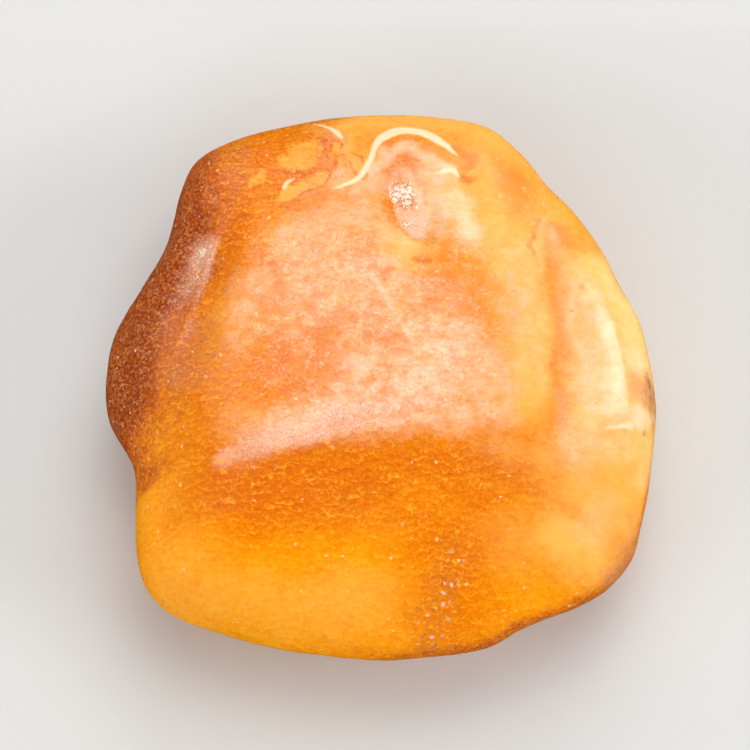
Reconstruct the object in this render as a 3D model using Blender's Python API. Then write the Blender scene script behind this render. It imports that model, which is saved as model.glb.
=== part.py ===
"""A raw amber nugget, one solid piece: a flattened, water-worn lump of opaque honey amber.

The nugget lies on a small flat spot, with +Z up and +Y towards its far, thinner end. Its origin
is on the surface that it lies on, under the middle of its box. Sizes are in millimetres here,
and bearings in degrees, anticlockwise from +X as seen from above.
"""

import math

import bmesh
import bpy
import numpy as np
from mathutils import Vector, noise

MM = 0.001

# The widest outline, seen from above, anticlockwise from the right.
RIM = [
    (24.8, 0.0), (24.1, 4.4), (22.1, 8.6), (20.4, 12.4), (18.2, 15.9), (15.8, 18.6), (13.4, 22.0),
    (9.2, 25.3), (0.0, 26.3), (-8.8, 24.9), (-16.3, 21.6), (-18.6, 17.0), (-19.8, 12.0),
    (-23.8, 4.7), (-24.9, 0.4), (-24.5, -3.9), (-22.2, -8.8), (-21.9, -16.2), (-20.8, -19.7),
    (-17.6, -22.3), (-8.6, -25.1), (0.0, -26.1), (8.8, -25.2), (12.8, -23.5), (17.5, -21.7),
    (20.9, -19.2), (23.3, -15.2), (25.0, -5.0),
]
# Height of that outline above the surface that the nugget lies on, at some bearings.
RIM_HEIGHTS = [(0, 7.6), (60, 6.6), (120, 7.4), (180, 8.0), (235, 6.4), (290, 7.3)]
# How far in from the outline the upper side rounds over, at some bearings, and the underside.
UPPER_ROUNDING = [
    (-15, 3.1), (30, 4.2), (60, 5.5), (100, 6.0), (150, 5.0), (190, 5.5), (225, 8.0), (270, 10.5),
    (320, 7.0),
]
UNDERSIDE_ROUNDING = 17.5
EDGE_BLUNTNESS = 2.4
# How far each way values stated at bearings are eased, in degrees.
EASING = 20

# The worn faces of the upper side: a point on each, how steeply it falls and towards which bearing.
WORN_FACES = {
    "crown": ((0.0, 0.0, 17.5), 4.0, 85.0),
    "front": ((0.0, -7.8, 18.1), 19.0, -72.0),
    "back": ((0.0, 7.5, 17.0), 20.0, 80.0),
    "right_shoulder": ((10.8, 3.0, 16.8), 28.0, 2.0),
    "left_shoulder": ((-13.4, -3.0, 17.3), 24.0, 174.0),
}
FACE_BLEND = 0.6
# The lower ledge along the right side: its top, and the face it ends in towards the near side.
RIGHT_LEDGE = {
    "top": ((18.0, 4.0, 13.2), 5.0, 75.0),
    "near_end": ((20.0, -6.4, 14.1), 20.0, -70.0),
}
LEDGE_BLEND = 0.35
LEDGE_STARTS, LEDGE_COUNTS_FULLY = 2.0, 9.0

# Ribs and hollows that follow a line on the upper side: its points, its rise and its half width.
STROKES = {
    "ridge_welt": ([(-15.5, -12), (-7, -9.6), (1, -7.5), (7, -6), (12.5, -4.8)], 0.4, 2.4),
    "crown_hollow": ([(-14.5, -3), (-6, -1.8), (3, -0.8)], -0.35, 3.0),
    "left_channel": ([(-14.4, 17.5), (-15.1, 12), (-15.6, 8), (-16.9, 3.5), (-17.9, -2)], -2.1, 2.2),
    "right_groove": ([(13.6, 18), (15, 12), (15.7, 5), (15.8, -3), (14.6, -10)], -0.6, 1.8),
    "right_rib": ([(16.2, 13), (18.8, 7), (21, 2.5), (22, -2), (22.3, -7)], 0.35, 1.8),
    "back_furrow": ([(4.6, 20.5), (6.6, 16.5), (9.8, 7)], -0.4, 1.6),
}
# The oval dimple near the far end: its middle, half length, half width, bearing and depth.
DIMPLE = ((2.3, 14.2), 3.9, 2.1, 102.0, 1.7)
DIMPLE_STEEPNESS = 3

# Shallow hollows knocked and worn into the sides and the underside: middle, reach and depth.
HOLLOWS = {
    "far_left": ((-9.0, 23.0, 2.4), 8.0, 1.1),
    "far_right": ((15.0, 17.0, 1.8), 7.5, 0.9),
    "left": ((-21.5, -12.0, 1.5), 7.5, 0.9),
    "near_right": ((14.5, -19.5, 1.4), 8.5, 1.0),
    "right": ((22.5, 3.0, 1.8), 6.5, 0.8),
}
MIDDLE_HEIGHT = 9.0

# Broad unevenness left by wear: its height on the upper side and the underside, and its size.
UPPER_WEAR = 0.22
UNDERSIDE_WEAR = 0.7
WEAR_SIZE = 9.0

# The mesh starts as a cube. These are its rows along each level edge and down each upright one,
# how deep it is against its half width, and how square a section through the nugget is.
LEVEL_ROWS = 38
UPRIGHT_ROWS = 12
CUBE_DEPTH = 0.8
SECTION_POWER = 3

AMBER_COLOUR = (0.86, 0.27, 0.025, 1.0)
AMBER_ROUGHNESS = 0.28


def closed_curve(points, steps):
    """Points along a smooth closed curve through the given ones."""
    made = []
    count = len(points)
    for i in range(count):
        before, start, end, after = (np.array(points[(i + k - 1) % count]) for k in range(4))
        for step in range(steps):
            t = step / steps
            made.append(
                0.5 * (2 * start + (end - before) * t
                       + (2 * before - 5 * start + 4 * end - after) * t**2
                       + (3 * start - before - 3 * end + after) * t**3)
            )
    return np.array(made)


RIM_CURVE = closed_curve(RIM, steps=8)
RIM_BEARINGS = np.arctan2(RIM_CURVE[:, 1], RIM_CURVE[:, 0])
RIM_RADII = np.hypot(RIM_CURVE[:, 0], RIM_CURVE[:, 1])


def rim_radius(bearing):
    """Distance from the middle to the outline at a bearing in radians."""
    return np.interp(bearing, RIM_BEARINGS, RIM_RADII, period=2 * math.pi)


def eased(stated, bearing):
    """A value stated at some bearings, eased between them."""
    bearings = np.radians([entry[0] for entry in stated])
    values = [entry[1] for entry in stated]
    around = bearing + np.radians(np.linspace(-EASING, EASING, 9))
    return np.interp(around, bearings, values, period=2 * math.pi).mean()


def plane_height(face, x, y):
    (at_x, at_y, at_z), fall, toward = face
    bearing = math.radians(toward)
    along = (x - at_x) * math.cos(bearing) + (y - at_y) * math.sin(bearing)
    return at_z - math.tan(math.radians(fall)) * along


def soft_least(heights, blend):
    """The least of some heights, with the corners between them rounded."""
    least = min(heights)
    return least - blend * math.log(sum(math.exp((least - h) / blend) for h in heights))


def soft_most(heights, blend):
    return -soft_least([-h for h in heights], blend)


def nearest_on_line(x, y, points):
    """Distance in plan to a line, and how far along it the nearest place is, from 0 to 1."""
    here = np.array((x, y))
    runs = [np.subtract(end, start) for start, end in zip(points, points[1:])]
    lengths = [np.linalg.norm(run) for run in runs]
    nearest, along, passed = math.inf, 0.0, 0.0
    for start, run, length in zip(points, runs, lengths):
        share = np.clip(np.dot(here - start, run) / length**2, 0, 1)
        distance = np.linalg.norm(here - start - share * run)
        if distance < nearest:
            nearest, along = distance, (passed + share * length) / sum(lengths)
        passed += length
    return nearest, along


def stroke_height(stroke, x, y):
    """A stroke's rise at a point: most along its line, fading out at both ends."""
    points, rise, half_width = stroke
    distance, along = nearest_on_line(x, y, points)
    end_fade = math.sin(math.pi * along)
    return rise * end_fade * math.exp(-((distance / half_width) ** 2))


def dimple_depth(x, y):
    (at_x, at_y), half_length, half_width, toward, depth = DIMPLE
    bearing = math.radians(toward)
    along = (x - at_x) * math.cos(bearing) + (y - at_y) * math.sin(bearing)
    across = -(x - at_x) * math.sin(bearing) + (y - at_y) * math.cos(bearing)
    reach = math.hypot(along / half_length, across / half_width)
    return depth * math.exp(-(reach**DIMPLE_STEEPNESS))


def upper_height(x, y):
    """Height of the upper side before its edge is rounded."""
    height = soft_least([plane_height(face, x, y) for face in WORN_FACES.values()], FACE_BLEND)
    ledge = soft_least([plane_height(face, x, y) for face in RIGHT_LEDGE.values()], LEDGE_BLEND)
    beside = np.clip((x - LEDGE_STARTS) / (LEDGE_COUNTS_FULLY - LEDGE_STARTS), 0, 1)
    height += beside * (soft_most([height, ledge], LEDGE_BLEND) - height)
    height += sum(stroke_height(stroke, x, y) for stroke in STROKES.values())
    return height - dimple_depth(x, y)


def rounded(inset, width):
    """The section of a blunt edge: 0 at the outline, 1 from the given width inwards."""
    left = 1 - min(inset / width, 1.0)
    return (1 - left**EDGE_BLUNTNESS) ** (1 / EDGE_BLUNTNESS)


def hollowed(point):
    """A point of the surface, pressed towards the nugget's middle where a hollow reaches it."""
    pressed = point.copy()
    inwards = (Vector((0, 0, MIDDLE_HEIGHT)) - point).normalized()
    for middle, reach, depth in HOLLOWS.values():
        nearness = max(0.0, 1 - ((point - Vector(middle)).length / reach) ** 2)
        pressed += inwards * depth * nearness**2
    return pressed


def place_on_nugget(direction):
    """The point of the nugget's surface that a direction from the middle stands for."""
    flat = math.hypot(direction.x, direction.y)
    section = (flat**SECTION_POWER + abs(direction.z) ** SECTION_POWER) ** (1 / SECTION_POWER)
    share = flat / section
    bearing = math.atan2(direction.y, direction.x)
    radius = rim_radius(bearing)
    rim_height = eased(RIM_HEIGHTS, bearing)
    x, y = share * radius * math.cos(bearing), share * radius * math.sin(bearing)
    inset = (1 - share) * radius
    wear = noise.noise(Vector((x, y, direction.z)) / WEAR_SIZE)
    if direction.z >= 0:
        edge = rounded(inset, eased(UPPER_ROUNDING, bearing))
        z = rim_height + (upper_height(x, y) + UPPER_WEAR * wear - rim_height) * edge
    else:
        edge = rounded(inset, UNDERSIDE_ROUNDING)
        z = rim_height * (1 - edge) + UNDERSIDE_WEAR * wear * 4 * edge * (1 - edge)
    return hollowed(Vector((x, y, z)))


def evened(value):
    """Spaces a cube's rows evenly by angle, so that its faces stay square on the nugget."""
    return CUBE_DEPTH * math.tan(value * math.atan(1 / CUBE_DEPTH))


def is_level(edge):
    return math.isclose(edge.verts[0].co.z, edge.verts[1].co.z, abs_tol=0.5 / UPRIGHT_ROWS)


def subdivided_cube():
    mesh = bmesh.new()
    bmesh.ops.create_cube(mesh, size=2.0)
    upright = [edge for edge in mesh.edges if not is_level(edge)]
    bmesh.ops.subdivide_edges(mesh, edges=upright, cuts=UPRIGHT_ROWS - 1, use_grid_fill=True)
    level = [edge for edge in mesh.edges if is_level(edge)]
    bmesh.ops.subdivide_edges(mesh, edges=level, cuts=LEVEL_ROWS - 1, use_grid_fill=True)
    return mesh


def build_nugget():
    mesh = subdivided_cube()
    for vertex in mesh.verts:
        x, y, z = vertex.co
        direction = Vector((evened(x), evened(y), CUBE_DEPTH * z))
        vertex.co = place_on_nugget(direction.normalized()) * MM
    corners = np.array([vertex.co for vertex in mesh.verts])
    middle = (corners.min(axis=0) + corners.max(axis=0)) / 2
    bmesh.ops.translate(mesh, verts=mesh.verts, vec=(-middle[0], -middle[1], 0.0))
    bmesh.ops.recalc_face_normals(mesh, faces=mesh.faces)
    bmesh.ops.triangulate(mesh, faces=mesh.faces, quad_method="SHORT_EDGE")
    data = bpy.data.meshes.new("amber_nugget")
    mesh.to_mesh(data)
    mesh.free()
    data.shade_smooth()
    return bpy.data.objects.new("amber_nugget", data)


def honey_amber():
    material = bpy.data.materials.new("honey_amber")
    material.use_nodes = True
    shader = material.node_tree.nodes["Principled BSDF"]
    shader.inputs["Base Color"].default_value = AMBER_COLOUR
    shader.inputs["Roughness"].default_value = AMBER_ROUGHNESS
    shader.inputs["Metallic"].default_value = 0.0
    return material


def main():
    for old in list(bpy.data.objects):
        bpy.data.objects.remove(old)
    collection = bpy.data.collections.new("raw_amber")
    bpy.context.scene.collection.children.link(collection)
    nugget = build_nugget()
    nugget.data.materials.append(honey_amber())
    collection.objects.link(nugget)


main()
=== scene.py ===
"""The looks of a raw amber nugget: one water-worn lump of opaque honey amber on a pale floor."""

import math

import bmesh
import bpy
import numpy as np
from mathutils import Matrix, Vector, noise


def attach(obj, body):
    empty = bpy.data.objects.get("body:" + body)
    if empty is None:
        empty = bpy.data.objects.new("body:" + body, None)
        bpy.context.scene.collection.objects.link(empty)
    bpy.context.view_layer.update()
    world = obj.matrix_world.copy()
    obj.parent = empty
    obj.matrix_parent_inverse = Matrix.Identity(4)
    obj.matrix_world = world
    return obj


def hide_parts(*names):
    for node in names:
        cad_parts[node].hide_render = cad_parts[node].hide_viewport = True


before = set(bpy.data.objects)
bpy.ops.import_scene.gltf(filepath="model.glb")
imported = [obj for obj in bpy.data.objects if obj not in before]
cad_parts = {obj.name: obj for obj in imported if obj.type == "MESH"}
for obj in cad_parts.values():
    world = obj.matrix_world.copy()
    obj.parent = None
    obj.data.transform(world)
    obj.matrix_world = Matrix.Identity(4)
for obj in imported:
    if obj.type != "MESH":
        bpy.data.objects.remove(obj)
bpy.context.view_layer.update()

# The nugget's worn body
# One lump of fossil resin, solid all through and tumbled smooth by water and sand. Nothing is fixed
# to it, and it lies on its own small flat spot. Places on it are in millimetres, x to the right and
# y to the far end.
MM = 0.001
MERGE_DISTANCE = 0.001 * MM
NEARLY_FLAT = math.radians(35)
FINENESS = 2

shape = bmesh.new()
shape.from_mesh(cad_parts["amber_nugget"].data)
bmesh.ops.remove_doubles(shape, verts=shape.verts, dist=MERGE_DISTANCE)
bmesh.ops.join_triangles(
    shape, faces=shape.faces, angle_face_threshold=NEARLY_FLAT, angle_shape_threshold=math.pi
)
coarse_mesh = bpy.data.meshes.new("worn_body_coarse")
shape.to_mesh(coarse_mesh)
shape.free()
coarse = bpy.data.objects.new("worn_body_coarse", coarse_mesh)
bpy.context.scene.collection.objects.link(coarse)
smoothing = coarse.modifiers.new("worn smooth", "SUBSURF")
smoothing.levels = FINENESS
smoothing.render_levels = FINENESS
worn = bpy.data.meshes.new_from_object(coarse.evaluated_get(bpy.context.evaluated_depsgraph_get()))
bpy.data.objects.remove(coarse)
worn.name = "amber_body"
worn.shade_smooth()
nugget = bpy.data.objects.new("amber_body", worn)
bpy.context.scene.collection.objects.link(nugget)

# Each cream vein has its points, and its widths at even steps from end to end.
VEINS = [
    (
        [(-4.1, 16.2), (-3.2, 16.6), (-2.2, 17.2), (-1.5, 18.1), (-1.0, 19.3), (-0.7, 20.4), (-0.2, 21.6),
         (0.6, 22.6), (1.6, 23.2), (2.7, 23.25), (3.9, 22.9), (5.1, 22.1), (6.2, 21.2), (7.1, 20.3)],
        [0.15, 0.38, 0.46, 0.5, 0.5, 0.54, 0.68, 0.88, 0.92, 0.88, 0.85, 0.75, 0.5, 0.08],
    ),
    ([(-6.1, 24.2), (-5.3, 23.9), (-4.5, 23.4), (-4.0, 22.8), (-3.6, 22.2)], [0.05, 0.2, 0.3, 0.6, 0.3]),
    ([(5.2, 18.3), (6.1, 18.65), (6.7, 18.6), (7.2, 17.9)], [0.1, 0.4, 0.6, 0.1]),
    ([(-8.7, 16.1), (-8.4, 16.7), (-7.8, 17.2)], [0.35, 0.35, 0.1]),
]
DIMPLE_MIDDLE = (2.7, 15.1)
DIMPLE_HALF_SIZE = (1.6, 4.5)
DIMPLE_BEARING = 13
# The skin's mesh is finer this near to a vein and round the dimple, on the upper side only.
FINE_BESIDE_VEIN = 0.9
FINE_ROUND_DIMPLE = (3.0, 6.8)
FINE_ABOVE = 9


def nearest_on_line(points, where):
    """Distance in plan to a line through some points, and how far along it, from 0 to 1."""
    starts = np.array(points[:-1])
    runs = np.array(points[1:]) - starts
    lengths = np.hypot(*runs.T)
    passed = np.concatenate(([0], np.cumsum(lengths)))
    nearest = np.full(len(where), np.inf)
    along = np.zeros(len(where))
    for start, run, length, before in zip(starts, runs, lengths, passed):
        share = np.clip(((where - start) @ run) / length**2, 0, 1)
        distance = np.hypot(*(where - start - share[:, None] * run).T)
        closer = distance < nearest
        nearest = np.where(closer, distance, nearest)
        along = np.where(closer, (before + share * length) / passed[-1], along)
    return nearest, along


def turned(where, middle, bearing):
    """Places in the directions of something turned in plan: across it, and along it."""
    turn = math.radians(bearing)
    dx, dy = where[:, 0] - middle[0], where[:, 1] - middle[1]
    return dx * math.cos(turn) + dy * math.sin(turn), -dx * math.sin(turn) + dy * math.cos(turn)


shape = bmesh.new()
shape.from_mesh(worn)
corners = np.array([vertex.co for vertex in shape.verts]) / MM
corner_plan = corners[:, :2]
across, along = turned(corner_plan, DIMPLE_MIDDLE, DIMPLE_BEARING)
wanted = np.hypot(across / FINE_ROUND_DIMPLE[0], along / FINE_ROUND_DIMPLE[1]) < 1
for line, _ in VEINS:
    wanted |= nearest_on_line(line, corner_plan)[0] < FINE_BESIDE_VEIN
wanted &= corners[:, 2] > FINE_ABOVE
shape.verts.ensure_lookup_table()
close_edges = [edge for edge in shape.edges if wanted[edge.verts[0].index] and wanted[edge.verts[1].index]]
bmesh.ops.subdivide_edges(shape, edges=close_edges, cuts=1, use_grid_fill=True)
bmesh.ops.triangulate(shape, faces=[face for face in shape.faces if len(face.verts) > 4])
shape.to_mesh(worn)
shape.free()
worn.shade_smooth()

# The skin's wear: uneven all over, with a few low folds, furrows, chips and one dimple.
count = len(worn.vertices)


def per_vertex(source, name, width):
    """A mesh property as an array with one row for each vertex."""
    values = np.empty(count * width)
    source.foreach_get(name, values)
    return values.reshape(count, width)


place = per_vertex(worn.vertices, "co", 3) / MM
outward = per_vertex(worn.vertex_normals, "vector", 3)
plan = place[:, :2]
faces_up = outward[:, 2] > 0
# This is 1 on the upper side, and fades to 0 a little way under the edge.
upward = np.clip(outward[:, 2] * 2.5 + 0.6, 0, 1)


def wander(size, seed):
    """An uneven value for each vertex, from about -1 to 1, that changes over the given size."""
    shift = Vector((seed * 7.3, seed * 3.1, seed * 5.7))
    return np.array([noise.noise(Vector(p) / size + shift) for p in place])


def wander_in_plan(size, x_seed, y_seed):
    """Uneven shifts to the right and to the far end."""
    return np.column_stack((wander(size, x_seed), wander(size, y_seed)))


def step(low, high, value):
    """0 below the low value and 1 above the high one, with a smooth rise between them."""
    share = np.clip((value - low) / (high - low), 0, 1)
    return share * share * (3 - 2 * share)


def fold(points, half_width):
    """A fold's section across its line, 1 in the middle, fading out at both ends."""
    distance, along = nearest_on_line(points, plan)
    return np.exp(-((distance / half_width) ** 2)) * np.sin(math.pi * along) ** 0.5 * upward


def spot(x, y, half_width, half_length):
    """A soft round or oval spot, 1 in its middle."""
    distance_squared = ((plan[:, 0] - x) / half_width) ** 2 + ((plan[:, 1] - y) / half_length) ** 2
    return np.exp(-distance_squared) * upward


# Uneven wear comes in four sizes, each with its size, height and seed.
WEAR = [(6.0, 0.12, 4), (3.2, 0.06, 1), (1.3, 0.03, 2), (0.6, 0.010, 3)]
relief = sum(height * wander(size, seed) for size, height, seed in WEAR)
RIDGE_LINE = [(-15.5, -13.8), (-10, -11.2), (-3.5, -9.3), (1, -8.3), (5.3, -7.8), (9.5, -7.5), (12, -7.7)]
LOBE_LIP_FOOT = [(-14.4, 15), (-15.0, 9.6), (-15.7, 7), (-16.4, 5), (-17.1, 3), (-18.4, -0.5)]
LOBE_LIP = [(-14.3, 15), (-15.2, 9.8), (-15.9, 7), (-16.6, 5), (-17.3, 3), (-18.3, 0)]
FAR_FURROW = [(14.4, 15.6), (15.0, 14.3)]
BENT_FURROW = [(14.2, 13.4), (13.8, 11.5), (13.5, 10.5), (14.2, 8.7)]
# Each fold has its line, half width and height, which is below zero for a furrow.
FOLDS = [
    (RIDGE_LINE, 1.1, 0.20), (LOBE_LIP_FOOT, 1.2, 0.20), (LOBE_LIP, 0.85, 0.50),
    (FAR_FURROW, 0.35, -0.10), (BENT_FURROW, 0.4, -0.12),
]
for points, half_width, height in FOLDS:
    relief += height * fold(points, half_width)
# Small chips: x, y, half width, half length, depth.
CHIPS = [(18.2, 6.8, 0.3, 0.3, 0.15), (15.3, 11.8, 0.5, 1.0, 0.12), (24.0, -6.7, 0.35, 0.35, 0.2)]
for x, y, half_width, half_length, depth in CHIPS:
    relief -= depth * spot(x, y, half_width, half_length)
# The flat spot that it rests on keeps its place.
off_the_floor = step(0.05, 0.6, place[:, 2])
place += outward * (relief * off_the_floor)[:, None]

# The dimple's floor is nearly level. Its left and near walls are steep, and its right side is open.
DIMPLE_FLOOR = 13.0
DIMPLE_FALL = math.radians(9)
DIMPLE_TAPER = 0.04
DIMPLE_WAVE = 0.2
DIMPLE_NEAR_RISE = 0.13
uneven_plan = plan + DIMPLE_WAVE * wander_in_plan(1.6, 21, 24)
dimple_across, dimple_along = turned(uneven_plan, DIMPLE_MIDDLE, DIMPLE_BEARING)
across_share = dimple_across / DIMPLE_HALF_SIZE[0]
along_share = dimple_along / DIMPLE_HALF_SIZE[1]
towards_near = np.clip(-along_share, -1, 1)
# This is 0 in the dimple's middle and 1 at its outline.
from_dimple = np.hypot(across_share / (1 - DIMPLE_TAPER * towards_near), along_share)
open_side = np.clip(across_share, 0, 1) * (1 - 0.7 * np.clip(-towards_near, 0, 1))
in_dimple = (1 - step(0.88 - 0.25 * open_side, 1.42 + 0.7 * open_side, from_dimple)) * faces_up
floor_height = DIMPLE_FLOOR - math.tan(DIMPLE_FALL) * dimple_along
floor_height += DIMPLE_NEAR_RISE * np.maximum(-1.0 - dimple_along, 0) ** 1.5
floor_height += 0.09 * wander(0.9, 22) + 0.05 * wander(0.45, 23)
place[:, 2] += in_dimple * (floor_height - place[:, 2])
worn.vertices.foreach_set("co", (place * MM).ravel())
worn.update()

# Marks in the amber
# Cream veins, cloudy patches and a red-brown weathered side, all grown into the resin or left on
# its skin by its long time in the ground, with painted shade on the near flank and painted
# highlights and sheen on the crown, ridge, ledge, lobe's lip and dimple. They are colour, shine
# and the finest roughness, and stand neither proud nor deep.

# Their borders wave and drift by these distances.
WAVE = 0.7
SLIGHT_WAVE = 0.12
DRIFT = 4.0
DRIFT_SIZE = 6.5


def keep(name, values):
    """Leaves a mark's strength on the mesh, for the amber's material to read."""
    layer = worn.attributes.new(name, "FLOAT", "POINT")
    layer.data.foreach_set("value", values.astype(np.float32))


def strongest(*strengths):
    """The strongest of some marks at each vertex."""
    return np.max(strengths, axis=0)


warp = wander_in_plan(2.4, 11, 13) + 0.5 * wander_in_plan(1.0, 12, 14)
# On the steep sides the borders of the patches wander further, but less so on the near side.
steep = 1 - step(0.0, 0.4, outward[:, 2])
steep *= 1 - 0.6 * step(0.3, 0.7, -outward[:, 1])
drifted = plan + DRIFT * steep[:, None] * wander_in_plan(DRIFT_SIZE, 31, 34)
wavy = drifted + WAVE * warp
slightly_wavy = plan + SLIGHT_WAVE * warp


def patch(x, y, half_width, half_length, bearing, softness):
    """A cloudy patch with a soft, wavy edge: 1 inside, 0 outside."""
    across, along = turned(wavy, (x, y), bearing)
    return 1 - step(1 - softness, 1 + softness, np.hypot(across / half_width, along / half_length))


def band(points, half_width, softness, taper=0.0):
    """A cloudy band along a line, fading out over a share of its length at both ends."""
    distance, along = nearest_on_line(points, wavy)
    ends = step(-0.001, taper, along) * (1 - step(1 - taper, 1.001, along))
    return (1 - step(1 - softness, 1 + softness, distance / half_width)) * ends


def rounded(points, parts=5):
    """A rounded line through the points, in shorter steps."""
    stops = np.array([points[0], *points, points[-1]])
    share = np.linspace(0, 1, parts, endpoint=False)[:, None]
    pieces = []
    for before, start, end, after in zip(stops, stops[1:], stops[2:], stops[3:]):
        slope = (end - before) / 2
        bend = (2 * before - 5 * start + 4 * end - after) / 2
        sway = (3 * start - before - 3 * end + after) / 2
        pieces.append(start + share * (slope + share * (bend + share * sway)))
    return np.vstack([*pieces, stops[-1:]])


def vein(points, widths):
    """How far inside a vein each vertex is, in millimetres, for widths stated along the vein."""
    distance, along = nearest_on_line(rounded(points), slightly_wavy)
    inside = np.interp(along, np.linspace(0, 1, len(widths)), widths) / 2 - distance
    return np.where(faces_up, inside, -1.0)


keep("vein", strongest(*[vein(points, widths) for points, widths in VEINS]))

# The near side is golden, with a deeper belt under the ridge and painted shade on its steep flank.
# Here and below, a patch has its x, y, half width, half length, bearing and softness, and a band its
# line, half width, softness and taper. The number before it is its strength.
GOLD_START = -13.3
GOLD_RISE = 9.0
near_gold = np.clip((GOLD_START - drifted[:, 1] - 1.5 * warp[:, 1]) / GOLD_RISE, 0, 1)
near_gold += 0.5 * patch(-5.0, -22.0, 6.2, 3.6, 6, 0.3)
near_gold += 0.25 * patch(-18.0, -20.5, 4.0, 4.5, 0, 0.9)
left_gold = 0.8 * band([(-22.0, -10.5), (-21.5, -15.0), (-19.5, -19.5)], 3.0, 0.9)
keep("gold", np.clip(strongest(near_gold, left_gold), 0, 1.3))

dimple_wall = step(0.75, 1.1, from_dimple) * (1 - step(1.2, 1.9, from_dimple)) * faces_up
far_left_wall = dimple_wall * (1 - step(-0.5, 0.5, towards_near + 0.5 * across_share))
# Painted shade: the steep near flank, low towards the floor, is deepened in colour.
near_flank_painted_shade = step(8.0, 15.0, -wavy[:, 1]) * step(-8.0, 5.0, wavy[:, 0])
near_flank_painted_shade *= 1 - step(0.10, 0.6, outward[:, 2])
MARBLING_LINE = [(-10.8, 20.5), (-10.4, 17.4), (-8.5, 16.8), (-6.5, 17.8), (-5.2, 18.6), (-5.0, 21.5)]
keep("deep_and_shade", strongest(
    1.0 * band([(-13.2, -13.2), (-8.0, -13.4), (-2.5, -12.6)], 3.3, 0.95),
    0.75 * band([(-3.5, -11.2), (2.0, -11.0), (6.0, -11.2), (8.8, -10.8)], 2.1, 0.95),
    0.5 * band([(15.6, 12.3), (15.8, 9.3), (16.0, 5.5), (16.1, 1.6), (16.0, -2.3), (15.5, -6.3)], 0.8, 0.85),
    0.35 * band([(4.4, 8.6), (6.2, 8.0), (8.4, 7.0), (9.3, 4.8)], 1.4, 0.9),
    0.25 * band([(5.4, 7.0), (8.5, 4.5), (10.0, 1.0)], 2.4, 0.95),
    0.6 * band([(-13.2, 14.5), (-13.2, 11.5), (-13.6, 8.0)], 2.2, 0.95),
    0.5 * band([(-14.6, -1.0), (-15.4, -5.0), (-16.5, -9.0)], 2.4, 0.95),
    0.45 * band([(-10.4, -1.8), (-8.5, -2.4), (-6.0, -2.8), (-4.4, -2.2)], 1.9, 0.8),
    0.45 * band([(-12.4, -4.6), (-8.9, -5.0), (-6.0, -4.4)], 1.5, 0.8),
    0.4 * patch(-9.3, 4.6, 1.6, 1.6, 0, 0.95),
    0.5 * band([(-11.0, 14.5), (-8.5, 14.0), (-6.5, 14.6)], 1.4, 0.95),
    0.9 * band(MARBLING_LINE, 1.2, 0.9),
    0.75 * far_left_wall,
    0.5 * band([(-9.0, 22.5), (-7.0, 23.2), (-5.4, 22.8)], 1.2, 0.95),
    0.2 * band([(0.8, 21.6), (3.0, 21.9), (5.5, 21.0), (7.4, 19.4)], 0.6, 0.9),
    0.6 * band([(7.2, 20.9), (8.2, 20.3), (8.5, 19.6), (7.8, 19.0)], 0.45, 0.9),
    0.8 * band([(7.5, 18.0), (8.4, 17.5)], 0.4, 0.9),
    0.55 * patch(12.4, 16.8, 1.7, 3.4, 15, 0.9),
    0.5 * band([(16.0, 12.6), (16.6, 10.6)], 0.7, 0.9),
    0.75 * patch(6.5, -20.5, 4.4, 6.2, -12, 0.9),
    0.8 * near_flank_painted_shade,
))

# The right side is paler and cloudier, up to the yellow of its edge.
pale = strongest(
    0.9 * patch(12.0, 14.0, 6.0, 10.0, 28, 0.9),
    0.6 * patch(-2.2, 18.4, 2.6, 2.6, 0, 0.6),
    0.85 * patch(-3.4, 20.6, 1.4, 2.4, 0, 0.8),
    0.5 * patch(14.8, -10.3, 1.9, 2.1, 0, 0.9),
    0.12 * band([(-20.4, -2.0), (-20.0, -8.0), (-20.0, -14.0)], 2.4, 0.9),
    0.8 * patch(2.4, 8.8, 2.6, 1.5, -15, 0.6),
    0.4 * band([(9.2, -8.8), (11.8, -9.6)], 1.3, 0.9),
    0.6 * patch(19.4, -15.6, 2.2, 2.4, 0, 0.9),
    0.85 * band([(11.5, 9.0), (13.2, 2.0), (13.4, -4.0)], 3.0, 0.95),
    0.85 * band([(17.0, 12.0), (19.6, 2.0), (20.6, -5.0), (21.0, -11.0), (18.6, -17.5)], 4.4, 0.8, 0.12),
    0.75 * patch(18.6, -16.4, 3.8, 3.0, 0, 0.9),
    0.95 * patch(17.4, -17.4, 3.6, 2.6, -35, 0.7),
    0.3 * patch(-17.5, -20.5, 3.5, 3.0, 0, 0.9),
    0.8 * band([(23.6, -5.0), (23.6, -8.0), (23.0, -10.5)], 1.6, 0.9),
    0.4 * patch(-3.0, -22.6, 4.8, 2.4, 6, 0.7),
    0.35 * band([(-15.0, -21.6), (-11.5, -22.2), (-8.0, -22.8)], 1.6, 0.95),
    0.5 * band([(10.5, -17.8), (16.0, -17.0), (20.5, -13.5)], 2.2, 0.9),
    0.35 * band([(-13.6, 7.5), (-13.8, 4.0), (-14.0, 1.0)], 1.9, 0.9),
    0.8 * band([(-3.5, 24.2), (2, 25.0), (8, 24.2), (12.5, 20.5)], 2.4, 0.95),
    0.5 * patch(4.6, 12.0, 3.5, 3.0, 0, 0.9),
    0.8 * band([(0.6, 12.2), (1.3, 11.0), (2.5, 10.0), (4.6, 9.6)], 1.0, 0.7),
)
keep("pale", pale)
EDGE_LINE = [(18.6, 12.6), (20.6, 9.0), (22.2, 5.6), (23.9, 1.2), (24.6, -3.0), (24.8, -7.0)]
yellow = strongest(
    0.95 * band(EDGE_LINE, 1.9, 0.95, 0.22),
    0.65 * band([(0.8, 11.8), (1.5, 10.7), (2.8, 9.9)], 0.9, 0.9),
    0.6 * band([(24.4, -5.0), (24.4, -9.0), (23.8, -12.5)], 1.6, 0.95, 0.2),
)
keep("yellow", yellow)
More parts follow.
